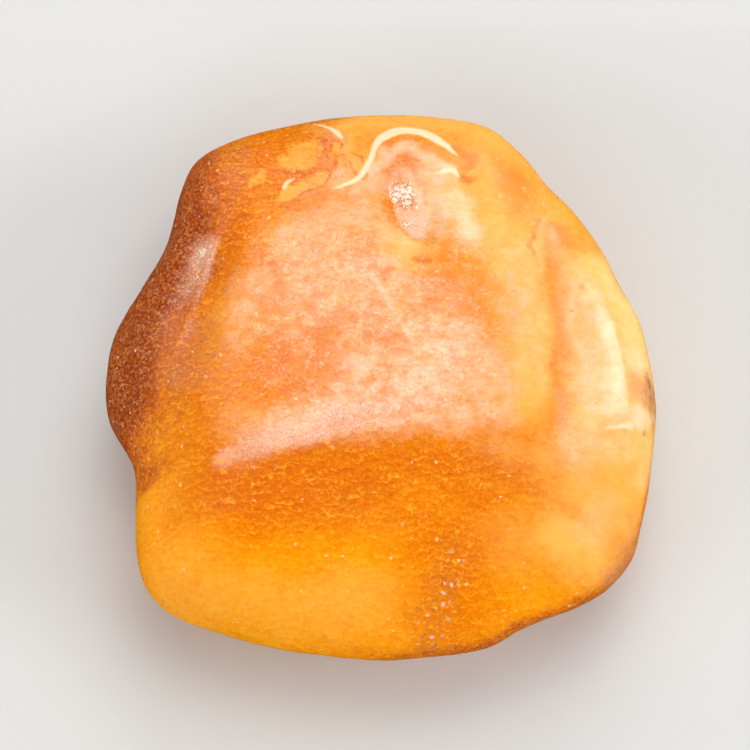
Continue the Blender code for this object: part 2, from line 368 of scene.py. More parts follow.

# Pink washes lie on the crown, partly a paler, pinker skin and partly painted pink sheen.
keep("wash_and_sheen", strongest(
    0.35 * patch(-0.8, 3.6, 10.5, 8.2, 0, 0.5),
    0.75 * band([(-7.6, 10.2), (-5.6, 12.5), (-1.5, 13.5), (-0.2, 12.0)], 2.3, 0.8),
    0.55 * patch(-2.0, 15.5, 2.6, 2.2, 0, 0.8),
    0.5 * patch(2.5, 2.0, 5.5, 4.0, 12, 0.95),
    0.45 * band([(-9.6, -8.8), (-6.0, -7.0), (0.0, -5.4), (6.5, -3.6), (10.5, -3.0)], 2.1, 0.9),
    0.8 * patch(9.8, -3.0, 2.6, 2.8, 0, 0.8),
    0.4 * band([(17.4, 6.5), (18.6, 1.5), (18.8, -3.6)], 1.7, 0.8),
    0.5 * patch(-1.0, 14.6, 1.6, 2.8, 0, 0.9),
    0.5 * band([(-3.5, 8.0), (0.5, 4.5), (3.5, 0.5)], 1.5, 0.9),
    0.7 * patch(-1.0, 17.0, 2.4, 1.7, 0, 0.7),
    0.75 * patch(-11.6, 5.6, 2.0, 1.8, 0, 0.8),
    0.7 * patch(-12.3, 0.4, 1.5, 1.8, 0, 0.8),
    0.7 * patch(-2.3, -1.9, 2.2, 1.3, 0, 0.8),
    0.55 * band([(1.5, -7.9), (5.3, -7.9), (7.6, -7.6)], 1.2, 0.9),
    0.6 * patch(11.6, 4.4, 1.5, 3.0, 0, 0.9),
    0.6 * patch(-5.0, 10.4, 4.0, 2.2, 0, 0.7),
    0.5 * patch(5.6, 0.6, 3.4, 2.8, 0, 0.8),
    0.4 * patch(10.2, -9.0, 1.6, 1.1, 0, 0.8),
))
in_floor = (1 - step(0.80, 1.02, from_dimple)) * faces_up
DIMPLE_RIM = [(-0.5, 18.4), (0.3, 20.0), (1.3, 20.9), (2.4, 21.1), (3.6, 20.7), (4.9, 19.9), (6.3, 19.0)]
CROWN_ARC = [(-13.0, 0.5), (-12.0, 3.5), (-9.6, 6.2), (-5.5, 8.0), (-1.0, 7.8), (3.2, 7.4)]
# Pink blushes, partly pinker skin and partly painted sheen, as in the dimple's floor and just behind the
# ridge.
keep("blush_and_sheen", strongest(
    (0.65 + 0.35 * step(0.1, 0.5, towards_near)) * in_floor,
    0.85 * band(DIMPLE_RIM, 0.6, 0.7),
    0.5 * patch(10.2, -6.5, 1.9, 1.1, 0, 0.8),
    0.75 * patch(4.7, 18.1, 1.7, 1.6, 0, 0.8),
    0.5 * patch(7.8, 11.6, 1.4, 2.2, 15, 0.8),
    0.6 * patch(4.8, 12.8, 1.0, 1.8, 10, 0.6),
    0.45 * patch(0.0, 17.3, 1.3, 1.1, 0, 0.8),
    0.3 * patch(-5.8, 16.2, 1.6, 1.0, 20, 0.9),
    0.35 * patch(-2.4, -1.6, 1.8, 1.0, 0, 0.8),
    0.2 * band([(20.3, -13.6), (18.4, -16.2)], 1.3, 0.9),
    0.38 * patch(5.4, -2.6, 4.8, 2.8, 12, 0.8),
    0.36 * patch(-2.3, -4.3, 4.4, 1.4, 12, 0.8),
    0.12 * band([(-14.4, -1.5), (-13.6, -5.0), (-12.6, -8.0)], 1.6, 0.9),
    0.15 * band([(18.6, 5.0), (19.8, -1.0), (20.2, -6.0)], 2.2, 0.9),
    0.25 * patch(17.0, -9.0, 2.0, 1.5, 0, 0.9),
    0.65 * patch(4.8, 15.8, 1.3, 2.4, 13, 0.9),
    0.28 * band(CROWN_ARC, 1.3, 0.95, 0.1),
    0.3 * band([(-4.8, 21.8), (-4.6, 19.6), (-2.8, 17.0)], 1.2, 0.95),
    0.6 * band([(-13.4, -11.2), (-11.5, -10.3), (-8.8, -9.2), (-4.5, -7.9)], 0.9, 0.8),
    0.3 * band([(-5.0, -8.0), (0.0, -7.6), (5.3, -7.4), (9.0, -6.6)], 1.1, 0.9),
))

# A painted highlight lies as a milky streak along the ledge, sharp at its right edge and soft at its
# left. A short one, which widens to the right, lies across the end of it.
LEDGE_HIGHLIGHT = [(16.4, 11.5), (18.1, 9.4), (19.6, 7.5), (20.8, 4.1), (21.7, 0.7), (22.2, -2.7), (22.5, -6.2)]
distance, along = nearest_on_line(rounded(LEDGE_HIGHLIGHT), slightly_wavy)
streak_x, streak_y = np.array(LEDGE_HIGHLIGHT[::-1]).T
left_of_streak = np.interp(slightly_wavy[:, 1], streak_y, streak_x) - slightly_wavy[:, 0]
streak_width = np.interp(along, [0, 0.3, 0.7, 1], [0.6, 0.9, 1.8, 2.2])
highlight_streak = step(-0.12, 0.25, left_of_streak) * (1 - step(0.35, 1.5, left_of_streak / streak_width))
highlight_streak *= (distance < 3.0) * np.interp(along, [0.05, 0.3, 0.55, 0.92, 1], [0, 0.35, 0.9, 1, 0.3])
CROSS_HIGHLIGHT = [(20.2, -6.9), (22.4, -6.4)]
distance, along = nearest_on_line(CROSS_HIGHLIGHT, slightly_wavy)
cross_highlight_streak = (1 - step(0.35, 1.0, distance / (0.12 + 0.36 * along))) * faces_up
keep("milky_and_highlight", strongest(
    0.72 * highlight_streak,
    0.9 * cross_highlight_streak,
    0.66 * band([(6.1, 17.6), (6.6, 15.8), (7.3, 14.0), (8.1, 12.0), (9.0, 9.6)], 1.1, 0.75, 0.22),
    0.2 * patch(15.3, 11.5, 1.3, 2.0, 20, 0.8),
    0.3 * patch(19.5, -8.3, 2.6, 1.1, 0, 0.8),
    0.55 * patch(5.4, 14.8, 1.5, 1.7, 15, 0.7),
    0.25 * patch(17.2, -8.4, 1.1, 2.4, 10, 0.9),
    0.75 * patch(23.2, -5.3, 1.2, 1.0, 0, 0.7),
    0.4 * patch(23.0, -0.2, 0.9, 1.2, 0, 0.8),
    0.2 * band([(13.4, 10.0), (13.8, 4.0), (13.8, -3.0)], 1.4, 0.9),
))

# The left side is weathered red-brown up to a ragged border, which is sharp beside the channel and
# soft past both its ends. The far edge, the ridge and the left edge are a little weathered too, and
# the near bottom edge is darkened with painted shade.
CRUST_BORDER = [
    (-23.0, -14.0), (-20.8, -7.5), (-19.4, -4.0), (-18.1, -0.5), (-17.4, 2.8), (-16.3, 5.3), (-15.4, 7.5),
    (-14.8, 9.9), (-13.9, 13.2), (-13.4, 22.0),
]
border_x, border_y = np.array(CRUST_BORDER).T
border = np.interp(drifted[:, 1], border_y, border_x)
past_border = drifted[:, 0] - border + 0.5 * warp[:, 0]
border_softness = np.interp(drifted[:, 1], [-6, -1, 2, 12, 15], [4.2, 3.4, 0.7, 0.5, 2.6])
crust_strength = np.interp(wavy[:, 1], [-14, -9, -5, 12, 16, 20, 25], [0, 0.6, 1, 1, 0.85, 0.75, 0.3])
worn_thin = 1 - 0.42 * (1 - step(0.8, 3.2, -past_border))
left_crust = (1 - step(-0.5, 0.5, past_border / border_softness)) * crust_strength * worn_thin
fringe_width = np.interp(drifted[:, 1], [-4, 4, 12, 20], [6.0, 4.2, 3.6, 3.6])
fringe_strength = np.interp(
    drifted[:, 1], [-12, -8, -2, 4, 11, 16, 20, 24], [0.0, 0.22, 0.48, 0.42, 0.34, 0.45, 0.35, 0.1]
)
fringe = (1 - step(0.0, fringe_width, past_border)) * fringe_strength
# Painted shade on the near bottom edge, where the flank turns under towards the floor.
near_edge_painted_shade = step(-5.0, 8.0, wavy[:, 0]) * step(12.0, 18.0, -wavy[:, 1]) * step(-0.5, -0.1, outward[:, 2])
near_edge_painted_shade *= 1 - step(0.12, 0.62, outward[:, 2] + 0.15 * warp[:, 1])
keep("crust_and_shade", strongest(
    left_crust,
    fringe,
    0.22 * band([(-14, -12.4), (-10, -9.8), (-4, -8.0), (1, -7.2)], 1.4, 0.95, 0.2),
    0.35 * band([(-13.5, 22.5), (-9, 24.3), (-4, 25.4)], 1.0, 0.95),
    0.48 * band([(-23.0, -5.0), (-22.0, -8.3), (-21.0, -11.0), (-20.6, -13.2)], 1.9, 0.95, 0.3),
    0.42 * near_edge_painted_shade,
))

# A painted strip of reflection lies on the lip above the channel, and a painted pink sheen on the ridge.
from_border = border - plan[:, 0] + 0.10 * warp[:, 0]
lip_reflection = step(-0.10, 0.15, from_border) * (1 - step(1.3, 2.9, from_border))
lip_reflection *= np.interp(plan[:, 1], [4.0, 6.5, 9.0, 10.4, 11.9], [0, 0.5, 0.95, 1, 0])
ridge_sheen = 0.5 * band([(-13.4, -10.6), (-9.0, -8.8), (-4.0, -7.4), (2.0, -6.6)], 1.3, 0.9, 0.1)
keep("painted_sheen", strongest(lip_reflection, ridge_sheen))

# Brown and dark places: the bark inclusion and the stained edge at the right, the dimple's far end,
# the lobe's root, small dark spots, and a column of pits down the near side.
outer_side = step(-0.3, 0.05, outward[:, 2])
dimple_cap = step(0.60, 0.85, from_dimple) * (1 - step(1.0, 1.3, from_dimple))
dimple_cap *= step(0.45, 0.85, -towards_near)
keep("brownish", outer_side * strongest(
    0.65 * patch(23.6, -2.5, 1.1, 1.6, 0, 0.7),
    0.34 * band([(-17.3, 4.5), (-17.8, 0.0), (-18.2, -4.0)], 2.1, 0.95, 0.15),
    0.2 * patch(-12.2, 18.6, 2.2, 2.8, 0, 0.9),
    0.4 * in_floor * step(0.2, 0.8, -towards_near),
    0.5 * dimple_cap,
    0.65 * band([(24.0, -13.0), (22.9, -16.2), (21.8, -17.8), (20.6, -19.2), (19.0, -20.4)], 0.9, 0.95, 0.3),
))
keep("dark", outer_side * strongest(
    0.75 * patch(24.3, -2.6, 0.8, 1.7, 0, 0.6),
    0.3 * band([(23.4, -15.6), (22.3, -17.8), (21.0, -19.4)], 0.5, 0.95),
    0.25 * band([(20.9, 10.4), (21.7, 8.2), (22.6, 5.6)], 0.6, 0.95, 0.3),
    0.6 * patch(24.2, -6.7, 0.3, 0.3, 0, 0.6),
    0.6 * patch(18.2, 6.8, 0.16, 0.28, 0, 0.6),
    0.45 * patch(-10.6, 4.0, 0.45, 0.3, 0, 0.8),
    0.24 * band([(6.6, -18.6), (5.8, -20.8), (5.2, -22.6), (4.1, -24.4)], 1.5, 0.95),
))
keep("pitted", outer_side * band([(6.5, -19.5), (6.0, -21.4), (5.2, -23.0), (4.3, -24.6)], 1.0, 0.6))

# Lumps of golden amber lie in the marbling: x, y, half width, half length, bearing, strength. A
# lump's mark is at its strength in its middle and half of that at its outline.
LUMPS = [
    (-7.5, 19.8, 1.5, 2.3, -42, 1.0), (-8.0, 15.5, 0.8, 2.1, -52, 1.0), (-5.6, 17.2, 1.0, 1.3, -30, 0.8),
    (-11.0, 17.2, 0.8, 1.8, -20, 0.72), (-2.2, 18.8, 0.7, 1.7, 35, 0.66), (-4.2, 20.6, 0.6, 1.1, 10, 0.66),
]
keep("marbled", outer_side * patch(-7.5, 18.6, 5.4, 4.6, -10, 0.6))
keep("lump", outer_side * strongest(*[strength * patch(*oval, 1.0) for *oval, strength in LUMPS]))

# Thin brown stains follow old seams in the amber, and an old scratch shows as a faint pale line.
STAINS = [
    [(-9.0, 20.5), (-8.8, 19.3), (-8.8, 17.9), (-8.2, 17.0), (-7.3, 17.5), (-6.2, 17.9), (-5.0, 18.2)],
    [(-4.4, 18.5), (-3.8, 19.7), (-4.6, 20.8)],
    [(2.9, 8.5), (3.6, 8.3), (4.4, 8.4)],
    [(14.3, 15.6), (15.0, 14.3)],
    [(14.4, 13.3), (13.9, 11.6), (13.6, 10.4), (14.1, 9.1)],
]
STAIN_HALF_WIDTH = 0.55
SCRATCH = [(-0.8, 7.1), (1.2, 3.2), (3.0, -0.2)]
SCRATCH_HALF_WIDTH = 0.28
stain_distances = [nearest_on_line(line, plan + 0.35 * warp)[0] for line in STAINS]
stained = strongest(*[1 - step(0.0, STAIN_HALF_WIDTH, distance) for distance in stain_distances])
stained *= 1 - 0.5 * step(11.0, 13.0, plan[:, 0])
keep("stained", stained * upward)
scratched = 1 - step(0.05, SCRATCH_HALF_WIDTH, nearest_on_line(SCRATCH, slightly_wavy)[0])
keep("scratched", scratched * upward)

# Fine flecks lie on the crown, and grit at its right and far ends, on the ridge and at the far right.
keep("crown", outer_side * patch(-0.5, 3.0, 13.0, 12.0, 0, 0.3))
keep("gritty", outer_side * strongest(
    patch(9.0, -4.2, 3.6, 3.0, 0, 0.6),
    0.5 * patch(-9.0, -8.0, 5.0, 2.0, 10, 0.8),
    0.35 * patch(0, 11, 9, 5, 0, 0.8),
    0.6 * patch(12.6, 15.6, 3.4, 5.0, 20, 0.8),
))

# The dimple's floor is painted a frosted white, partly a dry whitish skin and partly its painted
# highlight, and two small painted glints lie on the lobe's lip.
LIP_GLINTS = [(-15.9, 10.0, 0.5), (-16.5, 7.6, 0.35)]
far_floor_highlight = np.hypot((dimple_across + 0.35) / 1.45, (dimple_along - 1.0) / 2.7) + 0.2 * warp[:, 0]
near_floor_highlight = np.hypot(dimple_across + 0.85, (dimple_along + 2.1) / 1.5)
lip_glint = np.min([np.hypot(plan[:, 0] - x, plan[:, 1] - y) / size for x, y, size in LIP_GLINTS], axis=0)
frost_and_highlight = strongest(
    1 - step(0.35, 1.15, far_floor_highlight),
    0.95 * (1 - step(0.2, 1.4, lip_glint)),
    0.55 * in_floor * step(0.15, 0.6, towards_near),
    1.4 * (1 - step(0.05, 0.55, near_floor_highlight)),
)
keep("frost_and_highlight", frost_and_highlight)

# Handling has rubbed most of the upper side to a shine, but not its near slope, its hollows and some
# duller patches.
dull = strongest(
    0.6 * band([(-11.0, -1.4), (-8.5, -2.0), (-6.0, -2.4), (-4.8, -1.8)], 2.2, 0.8),
    0.8 * band([(3.2, 9.2), (6.0, 8.0), (8.5, 6.3), (9.6, 3.8)], 1.9, 0.8),
    0.85 * patch(-13.2, 15.6, 3.6, 4.8, 25, 0.6),
    0.35 * patch(-9.8, 4.4, 1.8, 3.4, 0, 0.8),
    0.5 * patch(3.6, 3.4, 2.6, 1.5, 0, 0.8),
    0.7 * band([(-12.6, -4.6), (-8.9, -5.0), (-6.0, -4.4)], 1.7, 0.7),
    0.9 * band([(-17.2, 12.5), (-18.0, 9.0), (-18.8, 6.0), (-19.8, 3.0), (-21.0, 0.0)], 1.5, 0.7),
    0.45 * patch(8.2, 16.6, 2.6, 6.0, 20, 0.7),
    0.6 * patch(-10.0, 18.5, 2.0, 4.0, 0, 0.8),
    0.55 * band([(16.4, 10.0), (16.8, 4.0), (17.0, -3.0), (17.2, -8.0)], 1.1, 0.9),
    0.5 * patch(6.5, 20.0, 2.2, 3.2, 30, 0.8),
    0.7 * far_left_wall,
    0.85 * band([(-13.7, 11.0), (-14.0, 8.5), (-14.6, 6.2), (-15.6, 3.6)], 1.1, 0.6),
)
near_slope = step(0.20, 0.38, -outward[:, 1])
rubbed = step(0.5, 0.9, outward[:, 2]) * (1 - dull) * (1 - near_slope)
keep("rubbed", rubbed * (1 - 0.8 * step(0.1, 0.7, frost_and_highlight)))
keep("crazed", np.clip(1 - 0.8 * pale - 0.8 * yellow - frost_and_highlight, 0.08, 1))

# The amber
# Butterscotch amber, opaque with tiny gas bubbles and soaked with light just below its skin. The
# skin is crazed by age into fine cells and rubbed to a soft shine by handling.
HONEY = (0.81, 0.25, 0.0005, 1)
DEEP_ORANGE = (0.74, 0.17, 0.0, 1)
GOLD = (0.98, 0.358, 0.0005, 1)
PALE_HONEY = (0.97, 0.49, 0.10, 1)
EDGE_YELLOW = (0.99, 0.62, 0.23, 1)
LUMP_GOLD = (0.99, 0.40, 0.06, 1)
BLUSH = (0.98, 0.58, 0.41, 1)
PINK_WASH_AND_SHEEN = (0.93, 0.455, 0.23, 1)
MILK_AND_HIGHLIGHT = (0.95, 0.74, 0.50, 1)
RED_BROWN = (0.28, 0.038, 0.005, 1)
WARM_BROWN = (0.56, 0.11, 0.002, 1)
BARK_BROWN = (0.70, 0.28, 0.12, 1)
DARK_BARK = (0.34, 0.12, 0.06, 1)
STAIN_BROWN = (0.70, 0.15, 0.003, 1)
SHEEN_PINK = (0.72, 0.39, 0.27, 1)
CREAM = (0.97, 0.71, 0.44, 1)
CRACK_GLINT = (1.0, 0.45, 0.025, 1)
PALE_GRAIN = (0.84, 0.41, 0.20, 1)
PALE_FLECK = (1.0, 0.68, 0.44, 1)
PALE_SPECK = (1.0, 0.66, 0.36, 1)
CHALK = (0.76, 0.50, 0.34, 1)
# These paint the highlight in the dimple's floor, the glints on the lobe's lip and the grains in the painted
# sheen.
HIGHLIGHT_WHITE = (0.86, 0.73, 0.60, 1)
HIGHLIGHT_DULL_GROUND = (0.74, 0.29, 0.11, 1)
# These deepen the colour that they lie on.
CLOUD_SHADE = (0.94, 0.80, 0.55, 1)
CELL_SHADE = (0.90, 0.74, 0.5, 1)
GRAIN_SHADE = (0.88, 0.72, 0.45, 1)
CROWN_SHADE = (0.95, 0.80, 0.72, 1)
HIGHLIGHT_GRAIN_SHADE = (0.72, 0.58, 0.50, 1)
# The noises that colour it, from the largest to the finest, in millimetres.
BROAD_SIZE = 5.0
MOTTLE_SIZE = 1.1
FINE_SIZE = 0.30
GRAIN_SIZE = 0.16
# How many of each thing there are in a millimetre.
CLOUDS_PER_MM = 0.30
SEAMS_PER_MM = 0.55
FIBRES_PER_MM = 1.0
SPECKS_PER_MM = 1.1
PITS_PER_MM = 1.15
CELLS_PER_MM = 1.5
CELL_BENDS_PER_MM = 1.4
CURLS_PER_MM = 1.9
# The fibres are drawn out towards the far end, and the cells are a little flattened.
FIBRE_SQUEEZE = (2.6, 0.5, 0.5)
CELL_SQUEEZE = (1.0, 1.25, 1.25)
CELL_BEND = 0.9

amber = bpy.data.materials.new("butterscotch_amber")
amber.use_nodes = True
tree = amber.node_tree
skin = tree.nodes["Principled BSDF"]


def node(kind, inputs=None, **settings):
    """One node of the amber's finish, with its settings and what feeds it."""
    made = tree.nodes.new("ShaderNode" + kind)
    for name, value in settings.items():
        setattr(made, name, value)
    for name, value in (inputs or {}).items():
        if isinstance(value, bpy.types.NodeSocket):
            tree.links.new(value, made.inputs[name])
        else:
            made.inputs[name].default_value = value
    return made


def mark(name):
    """A mark's strength, as it was left on the mesh."""
    return node("Attribute", attribute_name=name).outputs["Fac"]


def math_of(operation, first, second=0.0, third=0.0):
    """The result of one operation on numbers."""
    return node("Math", {0: first, 1: second, 2: third}, operation=operation).outputs[0]


def times(first, *others):
    """Some values multiplied together."""
    for other in others:
        first = math_of("MULTIPLY", first, other)
    return first


def roughened(value, unevenness, amount):
    """A value made uneven by an amount of some noise."""
    return math_of("MULTIPLY_ADD", unevenness, amount, value)


def away_from(value, middle):
    """How far a value is from a middle one, either way."""
    return math_of("ABSOLUTE", math_of("SUBTRACT", value, middle))


def ramp(value, low, high, to_low=0.0, to_high=1.0):
    """A smooth change from one result to another, between a low and a high value."""
    inputs = {"Value": value, "From Min": low, "From Max": high, "To Min": to_low, "To Max": to_high}
    return node("MapRange", inputs, interpolation_type="SMOOTHSTEP").outputs["Result"]


def blend(share, first, second, blend_type="MIX"):
    """The first colour with a share of the second laid over it."""
    made = node("Mix", {0: share, 6: first, 7: second}, data_type="RGBA", blend_type=blend_type)
    return made.outputs[2]


def tinted(share, first, factor):
    """A colour deepened towards itself times the factor."""
    return blend(share, first, blend(1.0, first, factor, "MULTIPLY"))


def vector_of(operation, first, second):
    """The result of one operation on places."""
    return node("VectorMath", {0: first, 1: second}, operation=operation).outputs[0]


object_place = node("TexCoord").outputs["Object"]
millimetres = vector_of("MULTIPLY", object_place, (1 / MM, 1 / MM, 1 / MM))


def cloudy(per_millimetre, detail, roughness=0.5, distortion=0.0, where=millimetres):
    """A noise all through the amber, from 0 to 1."""
    inputs = {"Vector": where, "Scale": per_millimetre}
    inputs |= {"Detail": detail, "Roughness": roughness, "Distortion": distortion}
    return node("TexNoise", inputs).outputs["Fac"]


broad = cloudy(1 / BROAD_SIZE, 3, 0.55)
clouds = cloudy(CLOUDS_PER_MM, 5, 0.6, 0.7)
mottle = cloudy(1 / MOTTLE_SIZE, 4, 0.6)
fine = cloudy(1 / FINE_SIZE, 3, 0.6)
grain = cloudy(1 / GRAIN_SIZE, 2)
mottle_shift = math_of("SUBTRACT", mottle, 0.5)
fine_shift = math_of("SUBTRACT", fine, 0.5)
grain_shift = math_of("SUBTRACT", grain, 0.5)
# Curly hairlines, where a noise crosses its middle value.
curl = ramp(away_from(cloudy(CURLS_PER_MM, 3, 0.65, 0.6), 0.5), 0.035, 0.0)


def ragged(name, amount, low=0.0, high=1.0):
    """A mark with its soft edge broken up by the amber's own mottling."""
    inside = ramp(mark(name), 0.0, 0.25)
    shifted = math_of("ADD", mark(name), times(mottle_shift, times(inside, amount)))
    return node("MapRange", {"Value": shifted, "From Min": low, "From Max": high}).outputs["Result"]


def grown_amber():
    """Honey amber with deeper and golden clouds and the patches that grew in it, with painted shade
    on its near flank and painted sheen and highlights among its pink and milky patches.
    """
    colour = blend(ramp(broad, 0.42, 0.62, 0.0, 0.55), HONEY, DEEP_ORANGE)
    colour = blend(ramp(clouds, 0.48, 0.60, 0.0, 0.25), colour, GOLD)
    colour = blend(ragged("gold", 0.7), colour, GOLD)
    colour = blend(ragged("pale", 0.6), colour, PALE_HONEY)
    colour = blend(ragged("yellow", 0.4), colour, EDGE_YELLOW)
    wash = times(ragged("wash_and_sheen", 1.1, 0.12, 0.75), ramp(clouds, 0.38, 0.58, 0.55, 0.95))
    colour = blend(wash, colour, PINK_WASH_AND_SHEEN)
    colour = blend(ragged("deep_and_shade", 0.8), colour, DEEP_ORANGE)
    colour = blend(ragged("blush_and_sheen", 0.8), colour, BLUSH)
    return blend(ragged("milky_and_highlight", 0.6), colour, MILK_AND_HIGHLIGHT)


def weathered(colour):
    """The red-brown weathered side with painted shade on its near edge, the painted reflection on the
    lobe's lip and the painted sheen on the ridge, and the bark inclusion at the right edge.
    """
    crust_and_shade = ragged("crust_and_shade", 0.9)
    colour = blend(ramp(crust_and_shade, 0.0, 0.55), colour, WARM_BROWN)
    colour = blend(ramp(crust_and_shade, 0.35, 1.0), colour, RED_BROWN)
    colour = blend(times(ragged("painted_sheen", 0.8), 0.75), colour, SHEEN_PINK)
    colour = blend(ragged("brownish", 0.8), colour, BARK_BROWN)
    fibres = cloudy(FIBRES_PER_MM, 3, where=vector_of("MULTIPLY", millimetres, FIBRE_SQUEEZE))
    colour = blend(times(ragged("dark", 0.6), ramp(fibres, 0.40, 0.60, 0.35, 1.0)), colour, DARK_BARK)
    return tinted(ramp(clouds, 0.52, 0.40, 0.0, 0.35), colour, CLOUD_SHADE)


def marbled(colour):
    """Brown seams, and golden lumps with a thin brown outline."""
    colour = blend(times(ragged("stained", 2.2, 0.15, 0.9), 0.85), colour, STAIN_BROWN)
    seam = ramp(away_from(cloudy(SEAMS_PER_MM, 4, 0.6, 1.0), 0.5), 0.045, 0.0)
    seam = times(seam, ramp(mottle, 0.4, 0.62))
    colour = blend(times(seam, times(mark("marbled"), 0.85)), colour, STAIN_BROWN)
    lump = roughened(roughened(mark("lump"), fine_shift, 0.35), mottle_shift, 0.55)
    colour = blend(times(ramp(lump, 0.40, 0.66), ramp(clouds, 0.38, 0.58, 0.7, 1.0)), colour, LUMP_GOLD)
    outline = times(ramp(away_from(lump, 0.36), 0.13, 0.02), ramp(mottle, 0.38, 0.55))
    colour = blend(times(outline, 0.9), colour, STAIN_BROWN)
    return blend(times(mark("scratched"), 0.45), colour, BLUSH)


def crazed_skin(colour):
    """A net of small cells, painted shade at each far side and a painted glint along each near edge."""
    crazed = mark("crazed")
    bend = node("TexNoise", {"Vector": millimetres, "Scale": CELL_BENDS_PER_MM, "Detail": 3.0})
    bend = vector_of("SUBTRACT", bend.outputs["Color"], (0.5, 0.5, 0.5))
    bend = node("VectorMath", {0: bend, "Scale": CELL_BEND}, operation="SCALE").outputs[0]
    cell_place = vector_of("MULTIPLY", vector_of("ADD", millimetres, bend), CELL_SQUEEZE)
    spread = {"Vector": cell_place, "Scale": CELLS_PER_MM, "Randomness": 1.0}
    cells = node("TexVoronoi", spread, feature="F1")
    from_edge = node("TexVoronoi", spread, feature="DISTANCE_TO_EDGE").outputs["Distance"]
    from_middle = vector_of("SUBTRACT", cell_place, cells.outputs["Position"])
    from_middle = node("SeparateXYZ", {0: from_middle}).outputs["Y"]
    chance = node("SeparateColor", {0: cells.outputs["Color"]}).outputs[0]
    # Painted shade on the far side of each cell.
    far_side_shade = times(ramp(from_middle, -0.15, 0.35), times(crazed, 0.6))
    colour = tinted(far_side_shade, colour, CELL_SHADE)
    # A painted glint along each cell's near edge, where light catches the crack.
    crack_glint = times(ramp(from_edge, 0.20, 0.03), ramp(from_middle, 0.0, -0.22))
    crack_glint = times(crack_glint, ramp(chance, 0.0, 1.0, 0.15, 1.0), ramp(fine, 0.3, 0.65, 0.4, 1.0), crazed)
    crack_glint = times(crack_glint, ramp(mark("crust_and_shade"), 0.2, 0.8, 1.0, 0.35))
    crack_glint = times(crack_glint, ramp(mark("painted_sheen"), 0.0, 0.8, 1.0, 0.2))
    crack_glint = times(crack_glint, ramp(mark("crown"), 0.5, 1.0, 1.0, 0.45))
    return blend(times(crack_glint, 0.95), colour, CRACK_GLINT)


def grainy(colour):
    """Fine grain, weaker where the amber is pale, with pale grains in the weathered skin."""
    calm = math_of("MAXIMUM", mark("pale"), times(mark("wash_and_sheen"), 0.8))
    lively = ramp(calm, 0.0, 0.9, 1.0, 0.25)
    colour = tinted(times(ramp(fine, 0.50, 0.35, 0.0, 0.45), lively), colour, GRAIN_SHADE)
    colour = blend(times(ramp(fine, 0.52, 0.70, 0.0, 0.3), lively), colour, GOLD)
    pale_grain = math_of("MAXIMUM", times(curl, ramp(fine, 0.35, 0.6)), ramp(grain, 0.58, 0.72, 0.0, 0.55))
    pale_grain = times(pale_grain, ramp(mottle, 0.3, 0.65, 0.25, 0.8), ramp(mark("crust_and_shade"), 0.05, 0.6))
    colour = blend(times(pale_grain, mark("crazed")), colour, PALE_GRAIN)
    # Light grains lie in the painted sheen.
    return blend(times(ramp(grain, 0.50, 0.66), times(mark("painted_sheen"), 0.6)), colour, HIGHLIGHT_WHITE)


def flecked(colour):
    """Fine pale flecks and darker grains on the crown."""
    fleck = times(curl, ramp(fine, 0.42, 0.58), ramp(mottle, 0.42, 0.62))
    fleck = math_of("MAXIMUM", fleck, times(ramp(grain, 0.60, 0.72), ramp(mottle, 0.5, 0.65, 0.0, 0.7)))
    colour = blend(times(fleck, times(mark("crown"), 0.72)), colour, PALE_FLECK)
    return tinted(times(ramp(grain, 0.48, 0.34), times(mark("crown"), 0.5)), colour, CROWN_SHADE)


def specked(colour):
    """Single pale and brown specks all over, with pale grit where the skin is gritty, and pits."""
    spread = {"Vector": millimetres, "Randomness": 1.0}
    specks = node("TexVoronoi", {"Scale": SPECKS_PER_MM, **spread}, feature="F1")
    kind = node("SeparateColor", {0: specks.outputs["Color"]})
    from_speck = roughened(specks.outputs["Distance"], grain_shift, 0.8)
    speck = ramp(from_speck, 0.17, 0.05)
    pale_speck = times(speck, ramp(kind.outputs[1], 0.6, 0.95, 0.0, 0.85), mark("crazed"))
    grit = ramp(roughened(from_speck, mottle_shift, 1.5), 0.28, 0.10)
    grit = times(grit, mark("gritty"), ramp(kind.outputs[2], 0.3, 0.5), ramp(fine, 0.40, 0.55), 0.9)
    colour = blend(math_of("MAXIMUM", pale_speck, grit), colour, PALE_SPECK)
    dark_speck = times(speck, ramp(kind.outputs[1], 0.30, 0.15, 0.0, 0.7))
    dark_speck = times(dark_speck, ramp(mark("wash_and_sheen"), 0.0, 0.5, 0.2, 1.0))
    colour = blend(dark_speck, colour, STAIN_BROWN)
    pits = node("TexVoronoi", {"Scale": PITS_PER_MM, **spread}, feature="F1")
    pit = ramp(roughened(pits.outputs["Distance"], fine_shift, 1.1), 0.26, 0.12)
    return blend(times(pit, mark("pitted")), colour, CHALK)


def frosted_highlight(colour):
    """Painted highlight and whitish skin: white flakes on a dull ground, with dark grains between them."""
    flakes = math_of("MULTIPLY_ADD", grain, 0.6, 0.2)
    for unevenness, amount in ((mottle_shift, 1.1), (fine_shift, 1.3), (mark("frost_and_highlight"), 0.28)):
        flakes = roughened(flakes, unevenness, amount)
    colour = blend(ragged("frost_and_highlight", 0.7, 0.48, 0.85), colour, HIGHLIGHT_DULL_GROUND)
    colour = blend(times(ragged("frost_and_highlight", 0.7, 0.1, 0.5), ramp(flakes, 0.72, 0.86)), colour, HIGHLIGHT_WHITE)
    return tinted(times(ramp(grain, 0.48, 0.36), mark("frost_and_highlight")), colour, HIGHLIGHT_GRAIN_SHADE)


def veined(colour):
    """The cream veins, which lie on top of every other mark."""
    return blend(ramp(roughened(mark("vein"), mottle_shift, 0.14), -0.17, 0.15), colour, CREAM)


